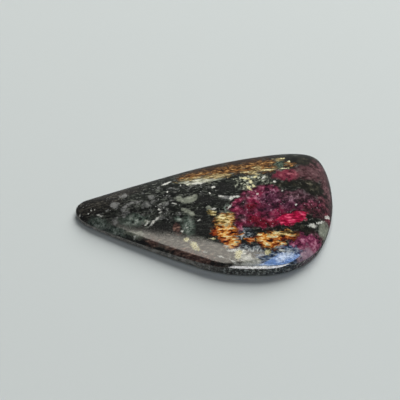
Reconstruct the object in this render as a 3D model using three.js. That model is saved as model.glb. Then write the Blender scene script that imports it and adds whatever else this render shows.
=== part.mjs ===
// A eudialyte cabochon: one hand-cut stone with a drop-shaped outline, a flat lapped back, a thin upright girdle and a
// polished dome that is thicker at the blunt end than at the tip. Millimetres, +Z up, the tip towards -X. The stone
// lies on its back, and the origin is the middle of its bounding box at that back.
import * as THREE from "three";

// Outline in plan, counterclockwise from the tip. Each turn has its place, the direction in which the edge runs there
// in degrees, and the reach of the curve before and after it.
const OUTLINE = [
  { turn: "tip", x: -22.5, y: 0.6, heading: -90, before: 1.1, after: 1.3 },
  { turn: "near side of the tip", x: -19.4, y: -3.1, heading: -29, before: 1.8, after: 6.0 },
  { turn: "near side", x: -0.1, y: -12.2, heading: -21, before: 6.5, after: 3.2 },
  { turn: "widest point, near", x: 9.1, y: -13.6, heading: 0, before: 3.4, after: 4.0 },
  { turn: "near corner", x: 19.2, y: -8.8, heading: 56, before: 3.8, after: 3.0 },
  { turn: "blunt end", x: 22.5, y: 3.0, heading: 90, before: 4.4, after: 3.0 },
  { turn: "far corner", x: 21.2, y: 11.1, heading: 113, before: 2.7, after: 2.2 },
  { turn: "widest point, far", x: 15.7, y: 13.6, heading: 180, before: 3.0, after: 3.6 },
  { turn: "far side", x: -4.2, y: 9.3, heading: 200, before: 7.0, after: 6.5 },
  { turn: "far side of the tip", x: -21.0, y: 2.8, heading: 203, before: 6.5, after: 0.9 },
];
const HALF_LENGTH = 22.5;
const HALF_WIDTH = 13.6;

// Heights above the flat back
const BACK_BEVEL = 0.3; // small bevel round the back, as high as it is wide
const RIM_AT_ENDS = 0.9; // top of the girdle at the tip and at the middle of the blunt end
const RIM_AT_SIDES = 1.9; // top of the girdle where the stone is widest
const RIDGE_HEIGHT = 4.5; // top of the dome above the ridge's middle
const RIDGE_SLOPE = 0.065; // the ridge rises this much for each millimetre towards the blunt end

// The dome closes on a straight ridge along X, and its section is the arc of an ellipse between these angles.
const RIDGE_MIDDLE = new THREE.Vector2(2.0, 0.0);
const RIDGE_SHARE = 0.62; // the ridge's length over the stone's
const DOME_FOOT_ANGLE = THREE.MathUtils.degToRad(12); // a shallow angle leaves an edge along the rim
const DOME_TOP_ANGLE = THREE.MathUtils.degToRad(88);

const POINTS_PER_TURN = 11; // outline points from one turn to the next
const DOME_LAPS = 15; // bands from the rim to the ridge

function outlinePoints() {
  const place = (turn) => new THREE.Vector2(turn.x, turn.y);
  const reach = (turn, length) => {
    const heading = THREE.MathUtils.degToRad(turn.heading);
    return place(turn).add(new THREE.Vector2(Math.cos(heading), Math.sin(heading)).multiplyScalar(length));
  };
  const shape = new THREE.Shape();
  shape.moveTo(OUTLINE[0].x, OUTLINE[0].y);
  OUTLINE.forEach((turn, i) => {
    const next = OUTLINE[(i + 1) % OUTLINE.length];
    const leave = reach(turn, turn.after);
    const arrive = reach(next, -next.before);
    shape.bezierCurveTo(leave.x, leave.y, arrive.x, arrive.y, next.x, next.y);
  });
  return shape.getPoints(POINTS_PER_TURN).slice(0, -1);
}

// The outline drawn in towards the ridge by shares of its length and width, each point at its own height
function loop(outline, alongRidge, acrossRidge, heightAt) {
  return outline.map((point) => {
    const x = RIDGE_MIDDLE.x + (point.x - RIDGE_MIDDLE.x) * alongRidge;
    const y = RIDGE_MIDDLE.y + (point.y - RIDGE_MIDDLE.y) * acrossRidge;
    return new THREE.Vector3(x, y, heightAt(point, x));
  });
}

function rimHeight(point) {
  return RIM_AT_ENDS + (RIM_AT_SIDES - RIM_AT_ENDS) * (point.y / HALF_WIDTH) ** 2;
}

function girdleLoops(outline) {
  return [
    loop(outline, 1 - BACK_BEVEL / HALF_LENGTH, 1 - BACK_BEVEL / HALF_WIDTH, () => 0),
    loop(outline, 1, 1, () => BACK_BEVEL),
  ];
}

function domeLoops(outline) {
  const loops = [];
  for (let lap = 0; lap <= DOME_LAPS; lap++) {
    const angle = THREE.MathUtils.lerp(DOME_FOOT_ANGLE, DOME_TOP_ANGLE, lap / DOME_LAPS);
    const inward = 1 - Math.cos(angle) / Math.cos(DOME_FOOT_ANGLE);
    const rise = (Math.sin(angle) - Math.sin(DOME_FOOT_ANGLE)) / (1 - Math.sin(DOME_FOOT_ANGLE));
    const height = (point, x) => {
      const ridge = RIDGE_HEIGHT + RIDGE_SLOPE * (x - RIDGE_MIDDLE.x);
      return THREE.MathUtils.lerp(rimHeight(point), ridge, rise);
    };
    loops.push(loop(outline, 1 - inward * (1 - RIDGE_SHARE), 1 - inward, height));
  }
  return loops;
}

function stoneGeometry() {
  const outline = outlinePoints();
  const count = outline.length;
  const loops = [...girdleLoops(outline), ...domeLoops(outline)];
  const faces = [];
  for (let k = 0; k + 1 < loops.length; k++) {
    for (let i = 0; i < count; i++) {
      const below = k * count + i;
      const belowNext = k * count + ((i + 1) % count);
      faces.push(below, belowNext, belowNext + count, below, belowNext + count, below + count);
    }
  }
  const cap = (points) => THREE.ShapeUtils.triangulateShape(points.map((p) => new THREE.Vector2(p.x, p.y)), []);
  const top = (loops.length - 1) * count;
  cap(loops[0]).forEach(([a, b, c]) => faces.push(a, c, b));
  cap(loops.at(-1)).forEach(([a, b, c]) => faces.push(top + a, top + b, top + c));
  const geometry = new THREE.BufferGeometry().setFromPoints(loops.flat());
  geometry.setIndex(faces);
  geometry.computeVertexNormals();
  return geometry;
}

function polishedStone() {
  return new THREE.MeshStandardMaterial({ color: 0x3a2a30, roughness: 0.12, metalness: 0.0 });
}

const cabochon = new THREE.Mesh(stoneGeometry(), polishedStone());
cabochon.name = "cabochon";

const group = new THREE.Group();
group.add(cabochon);

export default group;
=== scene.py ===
# A eudialyte cabochon on a pale surface: one polished stone, in metres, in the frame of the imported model.
import math

import bmesh
import bpy
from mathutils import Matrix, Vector
from mathutils.geometry import interpolate_bezier


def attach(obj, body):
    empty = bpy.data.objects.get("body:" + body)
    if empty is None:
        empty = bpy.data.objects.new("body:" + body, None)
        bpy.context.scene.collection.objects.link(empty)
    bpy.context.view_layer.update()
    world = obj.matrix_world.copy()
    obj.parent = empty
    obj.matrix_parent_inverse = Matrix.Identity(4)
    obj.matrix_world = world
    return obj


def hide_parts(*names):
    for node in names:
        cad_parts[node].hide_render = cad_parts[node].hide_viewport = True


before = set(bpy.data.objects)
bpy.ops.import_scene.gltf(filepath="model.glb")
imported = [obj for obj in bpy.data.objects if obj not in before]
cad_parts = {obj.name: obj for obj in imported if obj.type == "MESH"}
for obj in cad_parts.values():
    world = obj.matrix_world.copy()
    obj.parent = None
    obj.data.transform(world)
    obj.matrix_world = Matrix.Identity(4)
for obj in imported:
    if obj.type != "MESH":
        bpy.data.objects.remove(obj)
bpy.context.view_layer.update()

# The stone
# One piece of rock, sawn from a slab, ground to a lopsided drop and domed by hand on wet wheels. Its back is
# lapped flat with the sharp edge taken off, and the upright girdle round it is what a bezel would grip.
MM = 0.001  # one millimetre, in metres
HALF_LENGTH = 22.5
HALF_WIDTH = 13.6
BACK_BEVEL = 0.3  # as high as it is wide
RIM_AT_ENDS = 0.9  # the top of the girdle at the tip and at the blunt end
RIM_AT_SIDES = 1.9  # and where the stone is widest
RIM_ROUNDING = 0.1
RIDGE_HEIGHT = 4.5  # the top of the dome at the ridge's middle
RIDGE_SLOPE = 0.065  # the ridge rises this much for each millimetre towards the blunt end
RIDGE_MIDDLE = 2.0
RIDGE_SHARE = 0.62  # the ridge's length over the stone's
DOME_FOOT = math.radians(12)  # the dome's section is the arc of an ellipse between these angles
DOME_TOP = math.radians(88)
DOME_LAPS = 42  # bands from the rim to the ridge
POINTS_PER_TURN = 26  # outline points from one turn to the next
WAVINESS = 0.05
WAVE_LENGTH = 9.0
SHARP_ANGLE = math.radians(15)  # edges sharper than this are eased
SMOOTH_ANGLE = math.radians(25)  # and the faces across flatter ones than this are shaded as one
EASING_STEPS = 3

# Where the outline turns, in millimetres: the place, the heading in degrees, and how far the curve before
# and the curve after it hold that heading
OUTLINE = (
    ("tip", -22.5, 0.6, -90, 1.1, 1.3),
    ("near side of the tip", -19.4, -3.1, -29, 1.8, 6.0),
    ("near side", -0.1, -12.2, -21, 6.5, 3.2),
    ("widest point, near", 9.1, -13.6, 0, 3.4, 4.0),
    ("near corner", 19.2, -8.8, 56, 3.8, 3.0),
    ("blunt end", 22.5, 3.0, 90, 4.4, 3.0),
    ("far corner", 21.2, 11.1, 113, 2.7, 2.2),
    ("widest point, far", 15.7, 13.6, 180, 3.0, 3.6),
    ("far side", -4.2, 9.3, 200, 7.0, 6.5),
    ("far side of the tip", -21.0, 2.8, 203, 6.5, 0.9),
)


def bearing(degrees):
    """The direction of a heading, seen from above."""
    return Vector((math.cos(math.radians(degrees)), math.sin(math.radians(degrees))))


def outline_points():
    """The drop seen from above, as smooth curves from turn to turn."""
    points = []
    for turn, following in zip(OUTLINE, OUTLINE[1:] + OUTLINE[:1]):
        _, x, y, heading, _, after = turn
        _, next_x, next_y, next_heading, before, _ = following
        start = Vector((x, y))
        end = Vector((next_x, next_y))
        leave = start + after * bearing(heading)
        arrive = end - before * bearing(next_heading)
        points += interpolate_bezier(start, leave, arrive, end, POINTS_PER_TURN + 1)[:-1]
    return points


def raise_lap(along, across, middle, height_at):
    """Extrudes the top face, draws it in around a middle on the X axis and puts each corner at its height."""
    bpy.ops.mesh.extrude_region_move()
    bpy.ops.transform.resize(value=(along, across, 1), center_override=(middle * MM, 0, 0))
    shape = bmesh.from_edit_mesh(stone.data)
    for corner in shape.verts:
        if corner.select:
            corner.co.z = height_at(corner.co.x / MM, corner.co.y / MM) * MM
    bmesh.update_edit_mesh(stone.data)


# The outline of the back is pulled up into the girdle and then lap by lap into the dome
outline = outline_points()
bpy.ops.object.select_all(action="DESELECT")
bpy.ops.mesh.primitive_circle_add(vertices=len(outline), radius=HALF_LENGTH * MM, fill_type="NGON")
stone = bpy.context.object
stone.name = "polished_stone"
back_along = 1 - BACK_BEVEL / HALF_LENGTH
back_across = 1 - BACK_BEVEL / HALF_WIDTH
for corner, point in zip(stone.data.vertices, outline):
    corner.co = (point.x * back_along * MM, point.y * back_across * MM, 0)

bpy.ops.object.mode_set(mode="EDIT")
bpy.ops.mesh.select_all(action="SELECT")
raise_lap(1 / back_along, 1 / back_across, 0, lambda x, y: BACK_BEVEL)
raise_lap(1, 1, 0, lambda x, y: RIM_AT_ENDS + (RIM_AT_SIDES - RIM_AT_ENDS) * (y / HALF_WIDTH) ** 2)
along_before = 1
across_before = 1
for lap in range(1, DOME_LAPS + 1):
    angle = DOME_FOOT + (DOME_TOP - DOME_FOOT) * lap / DOME_LAPS
    inward = 1 - math.cos(angle) / math.cos(DOME_FOOT)
    rise = (math.sin(angle) - math.sin(DOME_FOOT)) / (1 - math.sin(DOME_FOOT))
    along = 1 - inward * (1 - RIDGE_SHARE)
    across = 1 - inward

    def dome_height(x, y):
        rim = RIM_AT_ENDS + (RIM_AT_SIDES - RIM_AT_ENDS) * (y / across / HALF_WIDTH) ** 2
        return rim + (RIDGE_HEIGHT + RIDGE_SLOPE * (x - RIDGE_MIDDLE) - rim) * rise

    raise_lap(along / along_before, across / across_before, RIDGE_MIDDLE, dome_height)
    along_before = along
    across_before = across
bpy.ops.mesh.select_all(action="SELECT")
bpy.ops.mesh.normals_make_consistent(inside=False)

# The edges of the back and the rim are eased, as the last polish leaves them
bpy.ops.mesh.select_all(action="DESELECT")
shape = bmesh.from_edit_mesh(stone.data)
for edge in shape.edges:
    edge.select = edge.calc_face_angle(0) > SHARP_ANGLE
bmesh.update_edit_mesh(stone.data)
bpy.ops.mesh.bevel(offset=RIM_ROUNDING * MM, segments=EASING_STEPS, affect="EDGES")
bpy.ops.object.mode_set(mode="OBJECT")

# A hand-held stone never comes off the wheel quite even, so waves take a few hundredths of a millimetre off
# the dome
dome = stone.vertex_groups.new(name="dome")
for corner in stone.data.vertices:
    above_rim = corner.co.z / MM - RIM_AT_SIDES - RIM_ROUNDING
    dome.add([corner.index], min(max(above_rim, 0), 1), "REPLACE")
polish = bpy.data.textures.new("hand polish", "CLOUDS")
polish.noise_scale = WAVE_LENGTH * MM
waves = stone.modifiers.new("hand polish", "DISPLACE")
waves.texture = polish
waves.texture_coords = "LOCAL"
waves.vertex_group = dome.name
waves.strength = WAVINESS * MM
waves.mid_level = 1
bpy.ops.object.modifier_apply(modifier=waves.name)
bpy.ops.object.shade_smooth_by_angle(angle=SMOOTH_ANGLE)


# The rock
# Eudialyte rock: crimson and purple eudialyte, gold astrophyllite in bundles of fibres, and pale feldspar
# and nepheline, all grown together in black-green aegirine. Everything is ground flush and polished, and
# only the lapped back is dull.
class Signal:
    """A socket of a node tree. Arithmetic on it adds the Math nodes that work it out."""

    def __init__(self, socket):
        self.socket = socket

    def maths(self, operation, *others):
        tree = self.socket.id_data
        return node(tree, "ShaderNodeMath", {"operation": operation}, dict(enumerate((self,) + others)))

    def __add__(self, other):
        return self.maths("ADD", other)

    def __radd__(self, other):
        return self.maths("ADD", other)

    def __sub__(self, other):
        return self.maths("SUBTRACT", other)

    def __rsub__(self, other):
        tree = self.socket.id_data
        return node(tree, "ShaderNodeMath", {"operation": "SUBTRACT"}, {0: other, 1: self})

    def __mul__(self, other):
        return self.maths("MULTIPLY", other)

    def __rmul__(self, other):
        return self.maths("MULTIPLY", other)


def node(tree, kind, settings, inputs, output=0, stops=()):
    """Adds a node: its settings, a value or signal for each socket, and the stops of its ramp, if any."""
    added = tree.nodes.new(kind)
    for name, value in settings.items():
        setattr(added, name, value)
    for number, (position, tint) in enumerate(stops):
        ramp_stops = added.color_ramp.elements
        stop = ramp_stops[number] if number < 2 else ramp_stops.new(position)
        stop.position = position
        stop.color = tint
    for socket, value in inputs.items():
        if isinstance(value, Signal):
            tree.links.new(value.socket, added.inputs[socket])
        else:
            added.inputs[socket].default_value = value
    return Signal(added.outputs[output])


def other_output(signal, output):
    """Another output of the node that a signal comes from."""
    return Signal(signal.socket.node.outputs[output])


def colour(red, green, blue):
    """A colour as a screen shows it, from 0 to 255, as the light that the shader works with."""
    parts = []
    for part in (red, green, blue):
        share = part / 255
        parts.append(share / 12.92 if share <= 0.04045 else ((share + 0.055) / 1.055) ** 2.4)
    return (*parts, 1.0)


rock = bpy.data.materials.new("eudialyte_rock")
rock.use_nodes = True
rock_tree = rock.node_tree
rock_tree.nodes.clear()


# The places of the colour sockets among the many of a Mix node
MIX_SHARE = 0
MIX_UNDER = 6
MIX_OVER = 7
MIX_RESULT = 2


def mixed(under, over, share):
    """One colour laid over another."""
    inputs = {MIX_SHARE: share, MIX_UNDER: under, MIX_OVER: over}
    return node(rock_tree, "ShaderNodeMix", {"data_type": "RGBA"}, inputs, MIX_RESULT)


def shades(signal, *stops):
    """A run of colours, each at its place along a signal."""
    stops = [(position, colour(*tint)) for position, tint in stops]
    return node(rock_tree, "ShaderNodeValToRGB", {}, {"Fac": signal}, 0, stops)


def spread(signal, low, high):
    """Stretches the part of a signal between low and high to the whole way from 0 to 1."""
    inputs = {"Value": signal, "From Min": low, "From Max": high}
    return node(rock_tree, "ShaderNodeMapRange", {"interpolation_type": "SMOOTHSTEP"}, inputs)


def noise(per_mm, detail, harshness, vector=None):
    """Solid noise with so many waves to a millimetre, at the raw places or at others given in millimetres."""
    inputs = {"Vector": vector, "Scale": per_mm, "Detail": detail, "Roughness": harshness}
    if vector is None:
        inputs["Vector"] = object_place
        inputs["Scale"] = per_mm / MM
    return node(rock_tree, "ShaderNodeTexNoise", {}, inputs)


def grained(degrees, squeeze, per_mm, detail, harshness):
    """Noise turned in plan and drawn out along one direction, for fibres and needles."""
    inputs = {
        "Vector": object_place,
        "Rotation": (0, 0, math.radians(-degrees)),
        "Scale": (squeeze / MM, 1 / MM, 1 / MM),
    }
    along = node(rock_tree, "ShaderNodeMapping", {"vector_type": "POINT"}, inputs)
    return noise(per_mm, detail, harshness, along)


def reading(among, direction):
    """How far a place lies along a direction."""
    inputs = {0: among, 1: direction}
    return node(rock_tree, "ShaderNodeVectorMath", {"operation": "DOT_PRODUCT"}, inputs, "Value")


def grains(places, among, edge, tooth=None):
    """1 inside any of these grains and 0 outside. The edge is a share of a grain's size, and a tooth eats
    into it. Each grain has its place, its length, its width and its turn in degrees."""
    nearest = None
    for name, x, y, length, width, turn in places:
        cosine = math.cos(math.radians(turn))
        sine = math.sin(math.radians(turn))
        lengthways = (2 * cosine / length, 2 * sine / length, 0)
        widthways = (-2 * sine / width, 2 * cosine / width, 0)
        middle = (
            lengthways[0] * x + lengthways[1] * y,
            widthways[0] * x + widthways[1] * y,
            0,
        )
        local = node(rock_tree, "ShaderNodeCombineXYZ", {"label": name}, {
            "X": reading(among, lengthways),
            "Y": reading(among, widthways),
        })
        inputs = {0: local, 1: middle}
        reach = node(rock_tree, "ShaderNodeVectorMath", {"operation": "DISTANCE"}, inputs, "Value")
        nearest = reach if nearest is None else nearest.maths("MINIMUM", reach)
    if tooth is not None:
        nearest = nearest + tooth
    return spread(nearest, 1 + edge, 1 - edge)


# Places in the rock are in millimetres. Grains are drawn in plan, and the noise that frays them is solid.
object_place = node(rock_tree, "ShaderNodeTexCoord", {}, {}, "Object")
place = node(rock_tree, "ShaderNodeVectorMath", {"operation": "SCALE"}, {0: object_place, "Scale": 1 / MM})


def sway(per_mm, detail, reach):
    """Pushes places about in plan by up to half the reach, for the uneven edges of grains."""
    elsewhere = node(rock_tree, "ShaderNodeMapping", {}, {
        "Vector": object_place,
        "Location": (31, 17, 5),
        "Scale": (1 / MM, 1 / MM, 1 / MM),
    })
    inputs = {
        "X": (noise(per_mm, detail, 0.5) - 0.5) * reach,
        "Y": (noise(per_mm, detail, 0.5, elsewhere) - 0.5) * reach,
    }
    return node(rock_tree, "ShaderNodeCombineXYZ", {}, inputs)


# The crystals stand through the slab and lean a little. Their places are those at the height of the rim.
LEAN = 0.21
flat = node(rock_tree, "ShaderNodeCombineXYZ", {}, {
    "X": reading(place, (1, 0, 0)),
    "Y": reading(place, (0, 1, -LEAN)) + LEAN * RIM_AT_SIDES,
})
shiver = sway(per_mm=3.2, detail=2.0, reach=0.7)
crisp = node(rock_tree, "ShaderNodeVectorMath", {"operation": "ADD"}, {0: flat, 1: shiver})
drift = sway(per_mm=0.9, detail=3.0, reach=1.8)
rough = node(rock_tree, "ShaderNodeVectorMath", {"operation": "ADD"}, {0: crisp, 1: drift})
mottle = noise(per_mm=1.1, detail=5.0, harshness=0.68)
cloud = noise(per_mm=0.6, detail=6.0, harshness=0.7)
fleck = noise(per_mm=6.0, detail=2.0, harshness=0.5)
chips = noise(per_mm=2.3, detail=3.0, harshness=0.65)
needles = grained(degrees=18, squeeze=0.42, per_mm=2.4, detail=5.0, harshness=0.66)
crumble = (mottle - 0.5) * 2.4
splinter = (needles - 0.5) * 2.4

# Aegirine, the black-green ground of the rock: fine needles that lie along the stone. It is browner at the
# tip, and dotted with pale points that are partly specks of the rock and partly painted glints
ground = shades(
    needles, (0.40, (9, 10, 8)), (0.49, (28, 30, 26)), (0.57, (52, 55, 49)), (0.68, (112, 115, 107)),
)
tip_brown = grains((
    ("brown-black tip", -19.0, 0.6, 10.0, 5.2, 6),
    ("brown-black tip, far side", -14.5, 3.0, 8.0, 3.0, 16),
), rough, 0.4)
tip_shades = shades(needles, (0.40, (20, 19, 17)), (0.52, (43, 41, 37)), (0.66, (84, 81, 73)))
ground = mixed(ground, tip_shades, tip_brown)
speckled = grains((
    ("between the grey grains", -11.2, -1.9, 8.0, 3.0, 2),
    ("beside the dotted row", -6.6, -0.8, 4.6, 5.0, 0),
    ("under the second pale grain", -4.6, -4.2, 3.0, 1.8, 0),
    ("above the pale grains", -2.4, 2.4, 6.0, 2.0, 6),
    ("around the dots in the middle", 0.4, 1.6, 3.2, 1.6, 0),
), rough, 0.5)
speckle_shades = shades(
    mottle, (0.40, (14, 14, 13)), (0.48, (34, 35, 33)), (0.56, (84, 85, 82)), (0.66, (142, 142, 138)),
)
patches = spread(cloud, 0.44, 0.60)
ground = mixed(ground, speckle_shades, speckled * patches)

# The pale specks and painted glints are one point in each of some cells of a fine cell pattern
speck_cells = node(rock_tree, "ShaderNodeTexVoronoi", {}, {"Vector": object_place, "Scale": 1.9 / MM})
speck_pick = node(rock_tree, "ShaderNodeSeparateColor", {}, {0: other_output(speck_cells, "Color")})
specks_and_glints = spread(speck_cells, 0.24, 0.1) * spread(speck_pick, 0.35, 0.6)
ground = mixed(ground, colour(170, 172, 168), specks_and_glints * (0.4 + 0.6 * speckled))

# Clean dark aegirine crystals
clean = grains((
    ("purple-black, near side", -7.2, -5.9, 4.8, 1.9, -8),
    ("under the white slash", -9.6, -5.25, 3.4, 0.4, 14),
    ("middle, below the pale grains", -0.2, -6.2, 3.0, 4.6, 0),
    ("middle", 0.4, -0.6, 3.4, 2.0, 0),
    ("before the eudialyte", 2.8, -1.4, 2.4, 1.2, 0),
    ("middle, lower", -0.6, -3.4, 1.7, 1.8, 20),
    ("above the left pale grain", -3.2, 1.2, 1.8, 0.6, 0),
    ("along the gold band", 6.4, 5.5, 2.6, 0.9, 3),
    ("by the upper eudialyte", 11.4, 4.4, 2.4, 2.6, 0),
    ("under the far crystals", 3.4, 2.0, 3.4, 2.6, 0),
), rough, 0.3, crumble)
clean_shades = shades(fleck, (0.40, (20, 20, 19)), (0.70, (54, 54, 52)))
ground = mixed(ground, clean_shades, clean * 0.75)

# Green-grey nepheline, streaked with aegirine
green = grains((
    ("near side of the tip", -18.2, -3.1, 4.4, 1.3, -22),
    ("left of the slash", -12.0, -3.8, 4.8, 2.0, -4),
    ("along the near edge", -15.2, -4.7, 4.0, 1.0, -26),
    ("low, right of the black", -2.8, -5.9, 2.2, 3.6, 8),
    ("teal, left of the eudialyte", 3.7, -2.9, 0.9, 2.0, -12),
    ("edge of the middle", -4.6, -4.3, 1.6, 1.0, -10),
), rough, 0.4, crumble * 1.3)
green_shades = shades(
    mottle, (0.38, (30, 38, 33)), (0.46, (72, 84, 75)), (0.54, (116, 128, 118)), (0.63, (182, 190, 180)),
)
ground = mixed(ground, green_shades, green * 0.9)

# Grey feldspar, clouded and soft at its edges
grey = grains((
    ("three-cornered, by the tip", -15.5, -0.5, 1.2, 1.0, 0),
    ("small, by the tip", -16.8, -1.4, 0.8, 0.5, 0),
    ("lower, by the tip", -15.3, -3.3, 1.4, 0.9, 10),
    ("long", -12.5, -0.4, 2.6, 1.0, 20),
    ("long, its foot", -13.9, -1.4, 1.3, 1.2, 30),
    ("long, its tail", -13.5, -2.3, 0.8, 1.0, 0),
    ("next along", -9.8, -0.8, 2.2, 0.9, 12),
    ("small under the next", -9.3, -2.4, 1.0, 0.5, -20),
    ("olive cloud", -14.1, 1.8, 0.9, 1.6, 0),
    ("cloud above", -9.2, 1.0, 1.2, 1.4, -30),
    ("small above", -10.6, 2.1, 0.6, 0.5, 0),
    ("under the dots", -6.6, -1.0, 0.8, 0.8, 0),
    ("left of the second pale grain", -4.5, -3.3, 0.9, 0.5, 0),
    ("far side", -5.4, 3.0, 1.4, 0.6, -10),
    ("far side, left", -8.3, 3.2, 0.7, 1.6, -30),
    ("fork of the slash", -7.4, -3.55, 1.5, 0.6, 30),
    ("fork of the slash, lower", -6.8, -4.2, 0.9, 0.4, -60),
    ("tail of the white streak", 3.6, -0.35, 1.4, 0.5, -10),
    ("under the left point", 5.4, -4.4, 1.0, 0.8, -30),
), rough, 0.35, splinter * 1.7)
grey_shades = shades(mottle, (0.37, (54, 55, 54)), (0.47, (96, 97, 95)), (0.58, (144, 144, 141)))
ground = mixed(ground, grey_shades, grey * 0.85)

# Pale grey-green grains
pale = grains((
    ("upper, left lobe", -4.4, 0.1, 1.0, 1.3, 0),
    ("upper", -3.0, -0.45, 2.6, 1.3, -3),
    ("upper, right lobe", -1.8, 0.2, 1.0, 1.6, -10),
    ("upper, its body", -2.5, -0.1, 2.0, 1.2, 0),
    ("lower", -3.1, -2.8, 2.2, 0.8, -30),
    ("lower, its end", -2.2, -3.5, 1.0, 0.9, -20),
    ("at the blunt end", 20.4, -5.2, 3.9, 1.4, 63),
    ("near side streak", -12.7, -5.55, 2.8, 0.5, -14),
    ("left of the slash", -9.9, -4.25, 1.0, 0.7, -30),
    ("left of the seam", -11.2, -6.2, 2.8, 1.1, -18),
    ("khaki", 0.7, -2.4, 0.9, 0.8, 0),
    ("far streak, left", -3.7, 4.4, 1.8, 0.6, 0),
    ("far streak, right", 2.0, 4.6, 2.6, 0.6, 8),
), crisp, 0.25, crumble * 0.6)
pale_shades = shades(mottle, (0.36, (94, 98, 88)), (0.50, (130, 134, 120)), (0.64, (166, 170, 155)))
ground = mixed(ground, pale_shades, pale)

# The bright streak of feldspar under the gold band
far_streak = grains((
    ("far streak", -1.1, 4.35, 4.8, 1.5, 4),
), rough, 0.4, crumble)
streak_shades = shades(needles, (0.40, (124, 125, 106)), (0.50, (190, 190, 170)), (0.62, (236, 234, 218)))
ground = mixed(ground, streak_shades, far_streak * 0.95)

# The near slope: clouded brown-grey feldspar with a dark red-brown seam along the rim
near_slope = grains((
    ("left", -7.0, -8.0, 8.0, 1.6, -19),
    ("middle", -0.6, -10.3, 9.0, 2.6, -17),
    ("right", 4.4, -12.0, 6.0, 2.6, -10),
), rough, 0.35, crumble)
slope_shades = shades(
    needles, (0.38, (48, 46, 42)), (0.48, (80, 76, 69)), (0.58, (112, 106, 96)), (0.70, (164, 156, 142)),
)
ground = mixed(ground, slope_shades, near_slope * 0.9)
seam = grains((
    ("along the rim", -2.0, -10.9, 9.4, 1.5, -24),
    ("along the rim, left", -8.9, -7.8, 2.6, 1.3, -12),
    ("above the black", -4.8, -6.0, 1.1, 1.0, 0),
    ("right of the black", -4.3, -7.0, 0.7, 0.5, 0),
), rough, 0.4, crumble)
seam_shades = shades(
    needles, (0.38, (46, 31, 28)), (0.49, (88, 62, 56)), (0.59, (132, 100, 88)), (0.68, (200, 160, 138)),
)
ground = mixed(ground, seam_shades, seam * 0.9)
black_foot = grains((
    ("end of the seam", 2.3, -12.6, 2.6, 0.6, -14),
    ("near rim of the tip side", -12.0, -6.9, 9.0, 0.5, -25),
), rough, 0.4)
ground = mixed(ground, colour(20, 21, 21), black_foot * 0.85)

# Pale crystals scattered in the ground between the gold band and the eudialyte
cluster = grains((
    ("arch", 7.3, 3.6, 2.6, 3.0, 0),
    ("foot", 7.6, 2.2, 2.0, 1.6, -50),
    ("right of the arch", 9.0, 4.4, 1.6, 2.0, 20),
    ("by the upper strip", 10.2, 4.1, 1.8, 1.8, 40),
    ("dotted edge", 11.2, 2.6, 2.4, 1.2, 0),
    ("left of the arch", 5.6, 3.4, 0.7, 1.8, 0),
), rough, 0.4, crumble * 1.4)
cluster_shades = shades(
    chips, (0.42, (26, 29, 25)), (0.48, (82, 86, 72)), (0.54, (136, 140, 122)), (0.62, (206, 208, 188)),
)
ground = mixed(ground, cluster_shades, cluster * 0.9)

# Brown astrophyllite along the far edge, darker towards the rim and tan along its foot, with a green spot
fibres = grained(degrees=12, squeeze=0.36, per_mm=3.2, detail=4.0, harshness=0.7)
brown = grains((
    ("far band, left", -1.6, 6.6, 6.0, 2.4, 12),
    ("far band, middle", 4.0, 7.4, 9.0, 3.6, 10),
    ("far band, right", 9.4, 8.0, 8.0, 4.4, 5),
    ("beyond the green spot", 15.0, 8.0, 2.4, 1.2, 0),
), rough, 0.3, splinter)
brown_shades = shades(
    fibres, (0.38, (30, 18, 9)), (0.46, (70, 44, 22)), (0.53, (118, 79, 40)), (0.60, (172, 126, 68)),
    (0.68, (232, 198, 136)),
)
ground = mixed(ground, brown_shades, brown)
dark_brown = grains((
    ("far band's upper edge, left", 0.6, 8.4, 8.0, 2.2, 14),
    ("far band's upper edge", 7.4, 10.4, 9.0, 3.2, 8),
), rough, 0.5, splinter)
dark_brown_shades = shades(fibres, (0.40, (24, 15, 9)), (0.55, (60, 39, 24)), (0.66, (104, 76, 48)))
ground = mixed(ground, dark_brown_shades, dark_brown * 0.8)
green_spot = grains((
    ("in the far band", 13.3, 8.4, 2.2, 2.6, 0),
), rough, 0.4, crumble)
spot_shades = shades(chips, (0.40, (24, 34, 28)), (0.50, (46, 64, 54)), (0.62, (96, 116, 100)))
ground = mixed(ground, spot_shades, green_spot * 0.9)
tan = grains((
    ("far band's lower edge, left", -2.6, 5.3, 4.4, 0.9, 8),
    ("far band's lower edge", 2.0, 5.6, 5.4, 1.2, 5),
    ("above the pale crystals", 8.8, 5.9, 1.8, 1.3, 0),
    ("gold spot", 9.3, 7.0, 1.4, 1.8, 0),
    ("right of the green spot", 13.2, 9.9, 2.2, 1.2, 0),
    ("lower edge, right", 11.4, 6.7, 3.0, 0.7, 4),
), rough, 0.4, splinter)
tan_shades = shades(
    fibres, (0.38, (54, 44, 28)), (0.47, (112, 96, 62)), (0.55, (168, 150, 104)), (0.63, (236, 222, 172)),
)
ground = mixed(ground, tan_shades, tan * 0.9)

# The great eudialyte crystal, clouded with purple in its middle and mottled at its edges, with spots of
# crimson and blood red
eudialyte = grains((
    ("left point", 5.7, -2.4, 3.0, 3.6, -30),
    ("upper left", 8.0, -0.3, 4.8, 3.4, 30),
    ("top", 10.8, 0.8, 4.6, 3.2, 0),
    ("middle", 11.5, -2.4, 8.0, 5.2, 0),
    ("lower left", 7.6, -4.8, 5.8, 3.8, -8),
    ("right", 15.4, -1.6, 6.0, 4.2, 8),
    ("right end", 18.4, -1.6, 4.6, 2.4, 14),
    ("lower middle", 10.4, -5.9, 4.8, 2.8, 0),
    ("foot", 5.9, -6.6, 1.4, 2.2, -10),
), rough, 0.18, crumble * 0.7)
eudialyte_shades = shades(
    mottle, (0.37, (36, 10, 20)), (0.44, (62, 20, 36)), (0.50, (92, 32, 54)), (0.56, (122, 48, 72)),
    (0.63, (174, 98, 124)), (0.72, (218, 170, 184)),
)
ground = mixed(ground, eudialyte_shades, eudialyte)
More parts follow.
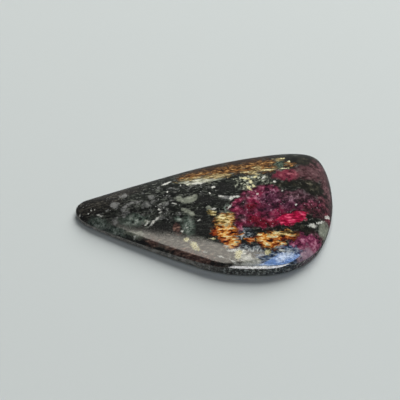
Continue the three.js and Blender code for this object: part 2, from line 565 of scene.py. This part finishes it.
purple = grains((
    ("middle", 11.4, -1.0, 4.2, 4.2, 0),
    ("right", 14.6, -2.2, 3.6, 2.6, 0),
    ("lower", 11.2, -3.4, 3.0, 1.6, 0),
), rough, 0.5)
purple_shades = shades(
    mottle, (0.37, (29, 13, 23)), (0.49, (59, 27, 46)), (0.58, (87, 52, 72)), (0.68, (148, 120, 134)),
)
ground = mixed(ground, purple_shades, purple * 0.75)
mottled = grains((
    ("right of the eudialyte", 16.4, -0.6, 6.4, 2.8, 4),
    ("between its needles", 7.0, -1.0, 0.7, 3.4, -20),
    ("left needle", 6.4, -4.9, 1.6, 1.6, 0),
), rough, 0.5, crumble)
mottled_shades = shades(
    mottle, (0.38, (32, 22, 25)), (0.49, (62, 45, 50)), (0.58, (104, 86, 92)), (0.68, (172, 156, 160)),
)
ground = mixed(ground, mottled_shades, mottled * 0.8)
crimson = grains((
    ("diagonal", 8.4, -1.5, 3.2, 1.4, -35),
    ("left, upper", 5.6, -1.3, 1.6, 0.9, 20),
    ("left, lower", 5.4, -3.3, 1.8, 1.0, 0),
    ("pink streak", 8.6, -4.5, 3.0, 0.6, 8),
    ("foot", 6.0, -6.5, 0.9, 1.4, 12),
    ("middle", 12.5, -4.3, 2.2, 1.6, 0),
    ("upper, left", 9.6, 0.2, 1.4, 1.4, 0),
), rough, 0.35, crumble)
crimson_shades = shades(
    mottle, (0.37, (74, 10, 34)), (0.48, (122, 28, 60)), (0.57, (160, 58, 88)), (0.67, (208, 134, 152)),
)
ground = mixed(ground, crimson_shades, crimson * 0.85)
blood = grains((
    ("dark spot", 8.0, -2.6, 1.9, 1.4, 0),
    ("lower, left", 8.4, -5.5, 2.6, 1.3, 0),
    ("lower", 10.5, -6.2, 3.4, 1.8, 0),
), rough, 0.35, crumble)
blood_shades = shades(
    mottle, (0.38, (52, 6, 14)), (0.49, (104, 12, 32)), (0.58, (148, 34, 58)), (0.68, (190, 90, 108)),
)
ground = mixed(ground, blood_shades, blood * 0.9)

# Its clearest part, bright crimson in long petals
petals = grained(degrees=16, squeeze=0.4, per_mm=2.2, detail=3.0, harshness=0.55)
heart = grains((
    ("middle", 14.6, -5.4, 4.8, 1.9, 14),
    ("upper right", 16.2, -4.5, 2.8, 1.7, 30),
    ("lower", 14.1, -6.3, 2.6, 1.1, 0),
), rough, 0.2, crumble * 0.6)
heart_shades = shades(
    petals, (0.38, (112, 4, 34)), (0.46, (166, 14, 58)), (0.54, (206, 34, 84)), (0.63, (238, 104, 136)),
)
ground = mixed(ground, heart_shades, heart)

# The smaller eudialyte crystals round the blunt end, dusty at the far corner, dark behind the bright
# crimson, and beside the blue a pale pink haze that is a painted reflection laid over them
upper = grains((
    ("upper strip", 14.6, 4.9, 4.8, 3.0, 4),
    ("blunt end's near edge", 21.2, -2.2, 1.6, 3.0, 24),
), rough, 0.3, crumble)
upper_shades = shades(
    mottle, (0.37, (74, 20, 36)), (0.46, (112, 38, 56)), (0.56, (140, 66, 78)), (0.68, (190, 134, 140)),
)
ground = mixed(ground, upper_shades, upper)
dusty = grains((
    ("end of the upper strip", 18.4, 5.6, 5.2, 4.6, 20),
    ("far corner", 20.2, 8.4, 3.2, 4.6, 30),
    ("blunt end", 21.4, 3.4, 1.9, 8.0, 4),
), rough, 0.35, crumble)
dusty_shades = shades(
    mottle, (0.37, (42, 25, 26)), (0.48, (78, 49, 52)), (0.60, (108, 75, 79)), (0.70, (154, 128, 128)),
)
ground = mixed(ground, dusty_shades, dusty * 0.9)
dark_end = grains((
    ("right of the heart", 18.8, -2.9, 4.6, 2.6, 10),
    ("up to the rim", 20.6, -0.6, 2.2, 3.4, 0),
), rough, 0.45, crumble)
dark_end_shades = shades(
    mottle, (0.38, (24, 15, 16)), (0.48, (58, 28, 34)), (0.57, (98, 46, 58)), (0.68, (160, 110, 118)),
)
ground = mixed(ground, dark_end_shades, dark_end * 0.85)
lower_right = grains((
    ("crystal", 17.7, -9.2, 6.2, 3.6, 38),
    ("left end", 15.4, -9.8, 2.6, 1.4, 20),
), rough, 0.2, crumble * 0.7)
lower_shades = shades(
    mottle, (0.37, (64, 20, 42)), (0.45, (114, 42, 74)), (0.53, (156, 68, 104)), (0.62, (204, 140, 164)),
)
ground = mixed(ground, lower_shades, lower_right)
# A pale pink haze beside the blue: a painted reflection over the purple crystal
pink = grains((
    ("beside the blue", 16.9, -11.1, 3.8, 2.0, 38),
), rough, 0.5, crumble)
painted_pink_haze_shades = shades(mottle, (0.40, (178, 138, 158)), (0.60, (234, 204, 216)))
ground = mixed(ground, painted_pink_haze_shades, pink * 0.95)

# Dark olive-green aegirine round the eudialyte at the blunt end
band = grains((
    ("band", 18.4, 2.2, 5.0, 3.2, -8),
    ("band, left", 14.3, 2.3, 5.2, 1.4, 0),
    ("band, lower", 18.6, 0.9, 2.6, 1.4, 0),
    ("far rim", 17.4, 9.6, 5.0, 3.2, -4),
    ("under the heart", 17.0, -7.0, 5.0, 1.3, -2),
    ("between the bundle and the heart", 12.4, -7.2, 3.6, 0.6, 0),
), rough, 0.35, crumble)
band_shades = shades(
    mottle, (0.38, (14, 14, 11)), (0.52, (31, 30, 23)), (0.64, (64, 61, 49)), (0.74, (126, 119, 103)),
)
ground = mixed(ground, band_shades, band * 0.92)

# Blue-grey feldspar between the gold bundles and low on the near slope, milky in places and broken by dark
# gaps
slate = grains((
    ("between the bundles", 7.2, -8.4, 2.6, 1.1, -15),
    ("between the bundles, left", 5.8, -8.9, 1.4, 1.0, 0),
    ("lower", 7.4, -10.7, 4.2, 1.2, -6),
    ("under the great eudialyte", 6.8, -7.4, 2.0, 0.8, 0),
    ("beside the right bundle", 9.0, -11.0, 2.6, 0.9, -10),
), rough, 0.35, crumble)
slate_shades = shades(
    chips, (0.41, (18, 22, 28)), (0.47, (72, 82, 92)), (0.54, (134, 144, 150)), (0.63, (208, 212, 210)),
)
ground = mixed(ground, slate_shades, slate * 0.9)
bluish = grains((
    ("under the right bundle", 13.4, -10.7, 4.0, 1.2, 8),
    ("near rim", 11.8, -12.2, 7.4, 2.0, 6),
    ("near rim, right", 14.9, -11.3, 3.6, 1.3, 30),
), rough, 0.3, crumble)
hairs = grained(degrees=24, squeeze=0.3, per_mm=3.2, detail=4.0, harshness=0.6)
blue_shades = shades(
    hairs, (0.38, (20, 32, 54)), (0.47, (52, 76, 112)), (0.55, (104, 128, 158)), (0.64, (206, 216, 222)),
)
ground = mixed(ground, blue_shades, bluish * 0.9)
milky = grains((
    ("left of the blue", 6.8, -12.2, 4.0, 1.5, -24),
    ("left of the blue, lower", 8.6, -12.9, 3.0, 0.8, -10),
    ("in the blue", 13.3, -11.6, 3.0, 1.3, 20),
), rough, 0.45, crumble)
milky_shades = shades(hairs, (0.40, (154, 156, 144)), (0.48, (218, 218, 204)), (0.56, (250, 250, 241)))
ground = mixed(ground, milky_shades, milky)
dark_gaps = grains((
    ("between the bundles", 7.6, -7.6, 1.6, 0.7, 0),
    ("navy", 7.8, -10.35, 1.0, 0.6, 0),
    ("black", 6.4, -9.75, 1.1, 0.5, -10),
    ("left of the right bundle", 8.3, -8.9, 0.7, 1.8, 10),
    ("specks under the bundle", 11.6, -11.1, 0.9, 0.4, -20),
    ("specks further right", 12.7, -11.3, 0.9, 0.3, -20),
), crisp, 0.4, crumble)
ground = mixed(ground, colour(26, 28, 34), dark_gaps * 0.9)

# Gold astrophyllite, in two bundles of bright fibres with painted glints, straw-coloured at the top and rusty
# at the foot
sheaf = grained(degrees=-20, squeeze=0.3, per_mm=2.3, detail=4.0, harshness=0.62)
gold = grains((
    ("left bundle, top", 3.4, -5.2, 3.2, 2.6, 0),
    ("left bundle", 3.5, -7.6, 3.9, 2.9, -20),
    ("left bundle, foot", 4.3, -9.5, 3.2, 2.0, -25),
    ("left bundle, its right tail", 5.7, -8.1, 2.0, 0.5, 4),
    ("right bundle, top", 12.9, -8.4, 5.0, 1.6, 2),
    ("right bundle", 10.6, -9.6, 4.4, 2.2, -16),
    ("right bundle, left", 9.6, -8.4, 1.8, 1.0, 0),
    ("right bundle, end", 12.9, -9.8, 1.4, 0.7, -16),
    ("between the bundles", 7.5, -9.3, 1.6, 0.6, -20),
), rough, 0.3, (sheaf - 0.5) * 2.6)
# The fibre pattern; the brightest stops of the gold, straw and rust shades are painted glints
glints = sheaf * 0.75 + mottle * 0.25
gold_shades = shades(
    glints, (0.41, (30, 16, 10)), (0.455, (132, 50, 20)), (0.495, (222, 126, 42)), (0.53, (252, 198, 96)),
    (0.575, (255, 248, 204)),
)
ground = mixed(ground, gold_shades, gold)
straw = grains((
    ("left bundle, top", 3.4, -5.1, 3.0, 2.3, 0),
    ("left bundle, above the top", 1.2, -3.5, 1.6, 0.9, 0),
    ("right bundle, top", 13.4, -8.1, 4.0, 0.9, 4),
), rough, 0.4, crumble * 0.6)
straw_shades = shades(
    glints, (0.42, (58, 48, 26)), (0.47, (126, 108, 60)), (0.52, (190, 168, 102)), (0.57, (252, 240, 186)),
)
ground = mixed(ground, straw_shades, straw * 0.85)
rust = grains((
    ("left bundle, red foot", 3.1, -8.9, 2.2, 1.0, -20),
    ("left bundle, left edge", 1.8, -7.6, 0.9, 1.6, -20),
    ("right bundle, dark stripe", 13.2, -9.05, 3.2, 0.4, 4),
    ("between the bundles", 7.6, -9.4, 1.2, 0.6, -20),
), rough, 0.4, (sheaf - 0.5) * 3.0)
rust_shades = shades(glints, (0.42, (58, 16, 8)), (0.50, (156, 50, 18)), (0.57, (224, 118, 50)))
ground = mixed(ground, rust_shades, rust * 0.85)

# The same specks and painted glints as in the ground, pinker in the eudialyte
pink_specks_and_glints = specks_and_glints * (0.55 * eudialyte)
ground = mixed(ground, colour(214, 188, 198), pink_specks_and_glints)

# Yellow and cream crystals
cream = grains((
    ("near side, small", -3.1, -8.3, 1.0, 0.7, -10),
    ("near side", -1.7, -9.5, 1.5, 0.9, -45),
    ("near side, its end", -1.1, -10.2, 0.8, 0.3, -10),
    ("low, left of the blue", 5.6, -11.6, 1.2, 1.5, 0),
    ("below the right bundle", 10.5, -11.4, 1.0, 0.8, 0),
    ("beside the left bundle", 1.3, -8.7, 1.0, 0.3, -10),
    ("far crystals, arch", 7.1, 4.4, 1.4, 0.6, -20),
    ("far crystals, right", 8.0, 3.4, 0.6, 0.9, 0),
    ("far crystals, foot", 7.7, 1.8, 1.3, 0.5, -60),
    ("far crystals, pink", 8.5, 2.3, 0.5, 0.8, 40),
    ("far crystals, upper", 8.9, 4.6, 0.8, 0.5, 30),
    ("pale line, left", 7.2, 6.2, 1.8, 0.25, 0),
    ("pale line", 11.2, 6.5, 2.4, 0.3, 0),
    ("pale line, right", 14.2, 6.7, 1.6, 0.25, 3),
    ("beyond the green spot", 13.9, 10.3, 0.9, 0.4, 0),
    ("yellow, beyond the green spot", 15.0, 8.9, 0.5, 0.5, 0),
), crisp, 0.35, crumble * 0.6)
cream_shades = shades(fleck, (0.36, (166, 156, 104)), (0.50, (224, 216, 158)), (0.64, (254, 250, 222)))
ground = mixed(ground, cream_shades, cream)

# Pure white grains, the brightest points of the rock
white = grains((
    ("tip, first dot", -21.7, -0.75, 0.25, 0.3, 0),
    ("tip, second dot", -19.7, -0.6, 0.22, 0.4, 0),
    ("tip, third dot", -19.0, -0.7, 0.25, 0.3, 0),
    ("tip, fourth dot", -20.2, -1.05, 0.4, 0.22, -10),
    ("tip, streak", -18.2, -1.9, 1.1, 0.28, -22),
    ("slash", -8.8, -4.55, 1.1, 0.45, 45),
    ("slash, upper", -8.1, -3.9, 0.8, 0.36, 45),
    ("slash, its line", -8.5, -4.25, 2.6, 0.14, 43),
    ("slash, left arm", -9.9, -4.6, 1.2, 0.16, 40),
    ("slash, left", -9.8, -4.2, 0.6, 0.2, -30),
    ("near side dot", -11.9, -6.3, 0.3, 0.5, 0),
    ("first of the dotted row", -7.8, -2.1, 0.35, 0.3, 0),
    ("second of the dotted row", -7.6, -2.75, 0.6, 0.2, 30),
    ("third of the dotted row", -5.25, -1.0, 0.7, 0.25, -20),
    ("fourth of the dotted row", -6.5, 2.1, 0.35, 0.4, 0),
    ("fifth of the dotted row", -7.75, -1.0, 0.2, 0.25, 0),
    ("bright dot, middle", 0.9, 1.0, 0.35, 0.35, 0),
    ("above the middle", 1.5, 2.5, 0.6, 0.6, 0),
    ("streak before the eudialyte", 2.9, 0.1, 1.1, 0.4, -8),
    ("corner of the eudialyte", 4.6, -0.5, 0.7, 0.8, 0),
    ("edge of the eudialyte", 5.3, -0.2, 1.4, 0.4, 0),
    ("left point of the eudialyte", 4.3, -2.4, 1.2, 0.25, 50),
    ("far streak", -6.6, 4.8, 1.7, 0.6, 28),
    ("far streak's core", -1.2, 3.85, 2.4, 0.5, 0),
    ("far dot", -4.2, 3.5, 0.25, 0.5, 0),
    ("low dot", -3.85, -6.7, 0.32, 0.5, 0),
    ("low dot, right", -3.0, -6.2, 0.3, 0.25, 0),
    ("low right streak", -1.0, -4.95, 0.7, 0.3, 0),
    ("before the left bundle", 1.6, -2.75, 0.9, 0.35, 0),
    ("near slope dot", 0.1, -10.75, 0.7, 0.25, -10),
    ("near slope line", 2.8, -11.8, 1.6, 0.2, -20),
    ("near slope line, right", 4.7, -12.6, 1.2, 0.22, -30),
    ("under the left bundle", 4.9, -10.95, 2.2, 0.35, 0),
    ("under the left bundle, left", 3.7, -10.15, 0.9, 0.25, -10),
    ("white lines by the blue", 7.9, -12.5, 3.0, 0.35, -25),
    ("near rim", 8.0, -13.1, 5.4, 0.4, -2),
    ("blunt end slash", 18.3, -5.9, 1.6, 0.65, 18),
    ("blunt end streak", 19.8, -4.5, 2.0, 0.25, 45),
    ("blunt end, pink", 21.2, -2.4, 1.5, 0.35, 50),
    ("dot by the upper strip", 12.2, 3.05, 0.35, 0.5, 0),
    ("left of the upper strip", 10.3, 4.3, 1.1, 0.3, 50),
    ("dot in the dark band", 13.4, 0.7, 0.25, 0.3, 0),
    ("pink dot", 9.1, 0.1, 0.25, 0.5, 0),
    ("pink dot, right", 15.6, -2.5, 0.3, 0.3, 0),
), crisp, 0.4, crumble * 0.8)
white_shades = shades(fleck, (0.38, (176, 176, 168)), (0.60, (240, 240, 232)))
ground = mixed(ground, white_shades, white * 0.92)

# The girdle is ground across the grains, so it shows the dark ground with a few pale specks, lightened by a
# painted reflection of the floor. Towards the tip a greyer painted reflection of the floor is laid over it.
place_along = reading(place, (1, 0, 0))
place_across = reading(place, (0, 1, 0))
height = reading(place, (0, 0, 1))
rim_height = RIM_AT_ENDS + place_across * place_across * ((RIM_AT_SIDES - RIM_AT_ENDS) / HALF_WIDTH ** 2)
girdle = spread(height - rim_height, 0.05, -0.1)
# Dark ground and pale specks, lightened as a painted reflection of the floor
girdle_shades_with_painted_reflection = shades(chips, (0.43, (30, 33, 32)), (0.54, (66, 71, 68)), (0.62, (180, 184, 178)))
ground = mixed(ground, girdle_shades_with_painted_reflection, girdle * 0.85)
# A grey painted reflection of the floor on the girdle, stronger towards the tip
painted_floor_reflection = girdle * spread(place_along, 5.0, -4.0)
painted_floor_reflection_shades = shades(needles, (0.40, (92, 90, 85)), (0.60, (172, 167, 158)))
ground = mixed(ground, painted_floor_reflection_shades, painted_floor_reflection * 0.8)

# The lapped back is dull, and the polish is a little less bright over the soft minerals, which the wheels
# wear a hair deeper than the hard ones
lapped = spread(height, 0.04, 0.0)
ground = mixed(ground, colour(92, 90, 86), lapped * 0.35)
POLISH = 0.05
SOFT_POLISH = 0.06
LAPPED_DULLNESS = 0.35
WEAR = 0.02
gloss = POLISH + SOFT_POLISH * fleck + LAPPED_DULLNESS * lapped
relief = node(rock_tree, "ShaderNodeBump", {}, {
    "Strength": 0.18,
    "Distance": WEAR * MM,
    "Height": fleck + mottle * 0.5,
})
surface = node(rock_tree, "ShaderNodeBsdfPrincipled", {}, {
    "Base Color": ground,
    "Roughness": gloss,
    "IOR": 1.6,
    "Normal": relief,
})
finish = rock_tree.nodes.new("ShaderNodeOutputMaterial")
rock_tree.links.new(surface.socket, finish.inputs["Surface"])
stone.data.materials.append(rock)
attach(stone, "root")
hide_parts("cabochon")

# The surface it lies on
# A wide sheet of pale grey card, matt, with no mark on it. The stone's polish doesn't pick it up, so that its
# outline stays dark and clear.
bpy.ops.object.select_all(action="DESELECT")
CARD_SIZE = 4.0  # metres, so that no edge of it shows
bpy.ops.mesh.primitive_plane_add(size=CARD_SIZE)
table = bpy.context.object
table.name = "pale_surface"
card = bpy.data.materials.new("pale_card")
card.use_nodes = True
card_surface = card.node_tree.nodes["Principled BSDF"]
card_surface.inputs["Base Color"].default_value = colour(204, 210, 209)
card_surface.inputs["Roughness"].default_value = 0.7
card_surface.inputs["Specular IOR Level"].default_value = 0.2
table.data.materials.append(card)
table.visible_glossy = False


# The light
# Soft daylight from behind the stone lights it and the card, and its shadow falls towards the front. What is
# in front shows only as a reflection: a pale wall on the left, the sky on the right and a bright sill.
# Places and sizes are in metres, turns in degrees and powers in watts.
def lamp(name, place, aim, turn, size, power, tint, in_diffuse):
    """A soft rectangular lamp that faces a point and shows either in matt light or only in gloss."""
    data = bpy.data.lights.new(name, "AREA")
    data.shape = "RECTANGLE"
    data.size = size[0]
    data.size_y = size[1]
    data.energy = power
    data.color = tint
    lit = bpy.data.objects.new(name, data)
    lit.location = place
    lit.rotation_euler = (Vector(aim) - Vector(place)).to_track_quat("-Z", "Y").to_euler()
    lit.rotation_euler.rotate_axis("Z", math.radians(turn))
    lit.visible_diffuse = in_diffuse
    lit.visible_glossy = not in_diffuse
    bpy.context.scene.collection.objects.link(lit)


lamp(
    "daylight", place=(0.36, 0.92, 0.7), aim=(0, 0, 0), turn=0, size=(1.0, 0.8),
    power=24.0, tint=(1.0, 0.99, 0.97), in_diffuse=True,
)
lamp(
    "fill", place=(0.2, -0.14, 0.45), aim=(0, 0, 0), turn=0, size=(0.3, 0.3),
    power=0.2, tint=(1.0, 1.0, 1.0), in_diffuse=True,
)
lamp(
    "pale wall", place=(-0.125, -0.076, 0.5), aim=(-0.125, -0.076, 0), turn=49, size=(0.32, 0.26),
    power=0.9, tint=(1.0, 0.94, 0.84), in_diffuse=False,
)
lamp(
    "sky", place=(0.34, -0.32, 0.5), aim=(0.34, -0.32, 0), turn=-24, size=(0.56, 0.32),
    power=4.0, tint=(0.27, 0.47, 0.95), in_diffuse=False,
)
lamp(
    "sill", place=(0.28, -0.72, 0.5), aim=(0.28, -0.72, 0), turn=-20, size=(0.9, 0.34),
    power=9.5, tint=(1.0, 1.0, 1.0), in_diffuse=False,
)

# The room is dim overhead and a little brighter towards the horizon
room = bpy.data.worlds.new("room")
bpy.context.scene.world = room
room.use_nodes = True
room_tree = room.node_tree
background = room_tree.nodes["Background"]
direction = node(room_tree, "ShaderNodeTexCoord", {}, {}, "Generated")
upwards = node(room_tree, "ShaderNodeSeparateXYZ", {}, {0: direction}, "Z")
room_shades = node(room_tree, "ShaderNodeValToRGB", {}, {"Fac": upwards}, 0, (
    (0.0, (0.14, 0.145, 0.15, 1)),
    (0.7, (0.09, 0.095, 0.1, 1)),
))
room_tree.links.new(room_shades.socket, background.inputs["Color"])

# The camera
# It looks down on the stone's near side from straight in front, with a long lens, and aims a little beyond
# the middle of the stone.
AIM = Vector((-0.8, 2.1, 2.0)) * MM
DISTANCE = 214 * MM
ELEVATION = math.radians(47)
camera_data = bpy.data.cameras.new("camera")
camera_data.lens = 110
camera_data.sensor_width = 36
camera_data.clip_start = 0.01
camera = bpy.data.objects.new("camera", camera_data)
camera.location = AIM + DISTANCE * Vector((0, -math.cos(ELEVATION), math.sin(ELEVATION)))
camera.rotation_euler = (AIM - camera.location).to_track_quat("-Z", "Y").to_euler()
bpy.context.scene.collection.objects.link(camera)
bpy.context.scene.camera = camera
bpy.context.scene.view_settings.view_transform = "Standard"
